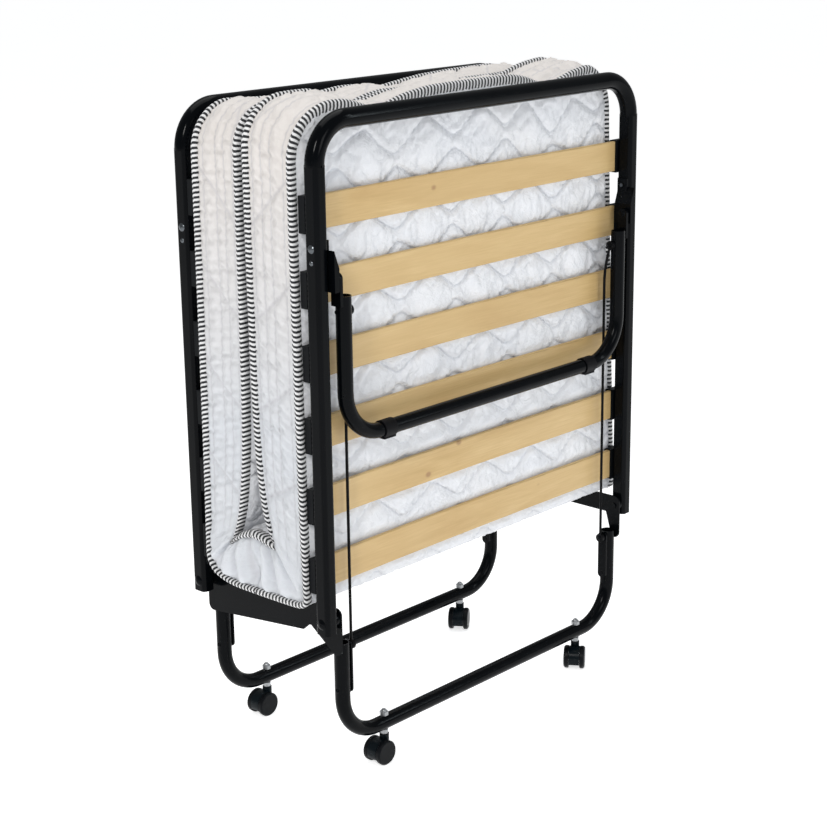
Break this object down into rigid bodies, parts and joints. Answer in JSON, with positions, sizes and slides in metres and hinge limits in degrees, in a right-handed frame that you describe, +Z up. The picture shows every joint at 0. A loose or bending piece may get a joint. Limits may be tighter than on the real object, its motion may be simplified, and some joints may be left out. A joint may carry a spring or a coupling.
{
  "type": "folding cot",
  "caption": "Folding guest bed standing folded: tube half frames with wooden slats, a folded quilted mattress, swing-out end legs and casters.",
  "frame": {"origin": "on the floor under the middle of the bed, which stands folded on its casters", "axes": "+Z up, +X along the slats and across the bed's width, the near half frame on the -Y side and the far one on the +Y side"},
  "size_m": [0.8012, 0.3478, 1.082],
  "materials": {
    "frame_paint": "gloss black powder coat",
    "rod_paint": "satin black",
    "slat_wood": "clear lacquered birch ply",
    "cap_plastic": "moulded black",
    "foot_plastic": "moulded black",
    "zinc_steel": "bright zinc plate",
    "caster_plastic": "moulded black",
    "wheel_plastic": "moulded black",
    "mattress_fabric": "white quilted cotton with striped edge tape"
  },
  "bodies": {
    "stand": {"hinge_plate_left": "frame_paint", "hinge_plate_right": "frame_paint", "leg_straps_left": "frame_paint", "leg_straps_right": "frame_paint", "centre_leg_near": "frame_paint", "centre_leg_far": "frame_paint", "hinge_rivets": "frame_paint", "link_lower_pins": "frame_paint", "leg_bolts": "frame_paint", "caster_stems": "zinc_steel", "caster_cap_nuts": "zinc_steel", "mattress_centre": "mattress_fabric"},
    "half_near": {"head_bow_near": "frame_paint", "side_rail_near_left": "frame_paint", "side_rail_near_right": "frame_paint", "slat_near_1": "slat_wood", "slat_near_2": "slat_wood", "slat_near_3": "slat_wood", "slat_near_4": "slat_wood", "slat_near_5": "slat_wood", "slat_near_6": "slat_wood", "slat_caps_near": "cap_plastic", "leg_brackets_near": "frame_paint", "frame_bolts_near": "zinc_steel", "end_leg_pivots_near": "frame_paint", "mattress_near": "mattress_fabric"},
    "end_leg_near_body": {"end_leg_near": "frame_paint", "foot_pads_near": "foot_plastic", "link_pins_near": "frame_paint"},
    "link_rods_near_body": {"link_rods_near": "rod_paint"},
    "half_far": {"head_bow_far": "frame_paint", "side_rail_far_left": "frame_paint", "side_rail_far_right": "frame_paint", "slat_far_1": "slat_wood", "slat_far_2": "slat_wood", "slat_far_3": "slat_wood", "slat_far_4": "slat_wood", "slat_far_5": "slat_wood", "slat_far_6": "slat_wood", "slat_caps_far": "cap_plastic", "leg_brackets_far": "frame_paint", "frame_bolts_far": "zinc_steel", "end_leg_pivots_far": "frame_paint", "mattress_far": "mattress_fabric"},
    "end_leg_far_body": {"end_leg_far": "frame_paint", "foot_pads_far": "foot_plastic", "link_pins_far": "frame_paint"},
    "link_rods_far_body": {"link_rods_far": "rod_paint"},
    "caster_near_left": {"caster_hood_near_left": "caster_plastic", "caster_axle_near_left": "zinc_steel"},
    "wheels_near_left": {"caster_wheels_near_left": "wheel_plastic"},
    "caster_near_right": {"caster_hood_near_right": "caster_plastic", "caster_axle_near_right": "zinc_steel"},
    "wheels_near_right": {"caster_wheels_near_right": "wheel_plastic"},
    "caster_far_left": {"caster_hood_far_left": "caster_plastic", "caster_axle_far_left": "zinc_steel"},
    "wheels_far_left": {"caster_wheels_far_left": "wheel_plastic"},
    "caster_far_right": {"caster_hood_far_right": "caster_plastic", "caster_axle_far_right": "zinc_steel"},
    "wheels_far_right": {"caster_wheels_far_right": "wheel_plastic"}
  },
  "joints": [
    {"name": "fold_near", "type": "hinge", "parent": "stand", "child": "half_near", "pos_m": [0, -0.146, 0.285], "axis": [1, 0, 0], "range_deg": [0, 90]},
    {"name": "end_leg_swing_near", "type": "hinge", "parent": "half_near", "child": "end_leg_near_body", "pos_m": [0, -0.1585, 0.835], "axis": [1, 0, 0], "range_deg": [-90, 0]},
    {"name": "link_swing_near", "type": "hinge", "parent": "stand", "child": "link_rods_near_body", "pos_m": [0, -0.142, 0.23], "axis": [1, 0, 0], "range_deg": [0, 90]},
    {"name": "fold_far", "type": "hinge", "parent": "stand", "child": "half_far", "pos_m": [0, 0.146, 0.285], "axis": [-1, 0, 0], "range_deg": [0, 90]},
    {"name": "end_leg_swing_far", "type": "hinge", "parent": "half_far", "child": "end_leg_far_body", "pos_m": [0, 0.1585, 0.835], "axis": [-1, 0, 0], "range_deg": [-90, 0]},
    {"name": "link_swing_far", "type": "hinge", "parent": "stand", "child": "link_rods_far_body", "pos_m": [0, 0.142, 0.23], "axis": [-1, 0, 0], "range_deg": [0, 90]},
    {"name": "swivel_near_left", "type": "hinge", "parent": "stand", "child": "caster_near_left", "pos_m": [-0.256, -0.142, 0.04], "axis": [0, 0, 1], "continuous": true},
    {"name": "roll_near_left", "type": "hinge", "parent": "caster_near_left", "child": "wheels_near_left", "pos_m": [-0.268, -0.142, 0.021], "axis": [0, 1, 0], "continuous": true},
    {"name": "swivel_near_right", "type": "hinge", "parent": "stand", "child": "caster_near_right", "pos_m": [0.256, -0.142, 0.04], "axis": [0, 0, 1], "continuous": true},
    {"name": "roll_near_right", "type": "hinge", "parent": "caster_near_right", "child": "wheels_near_right", "pos_m": [0.24599, -0.14862, 0.021], "axis": [-0.5519, 0.8339, 0], "continuous": true},
    {"name": "swivel_far_left", "type": "hinge", "parent": "stand", "child": "caster_far_left", "pos_m": [-0.256, 0.142, 0.04], "axis": [0, 0, 1], "continuous": true},
    {"name": "roll_far_left", "type": "hinge", "parent": "caster_far_left", "child": "wheels_far_left", "pos_m": [-0.268, 0.142, 0.021], "axis": [0, 1, 0], "continuous": true},
    {"name": "swivel_far_right", "type": "hinge", "parent": "stand", "child": "caster_far_right", "pos_m": [0.256, 0.142, 0.04], "axis": [0, 0, 1], "continuous": true},
    {"name": "roll_far_right", "type": "hinge", "parent": "caster_far_right", "child": "wheels_far_right", "pos_m": [0.24599, 0.13538, 0.021], "axis": [-0.5519, 0.8339, 0], "continuous": true}
  ],
  "couplings": [
    {"joint": "end_leg_swing_near", "follows": "fold_near", "ratio": -1},
    {"joint": "link_swing_near", "follows": "fold_near", "ratio": 1},
    {"joint": "end_leg_swing_far", "follows": "fold_far", "ratio": -1},
    {"joint": "link_swing_far", "follows": "fold_far", "ratio": 1}
  ]
}
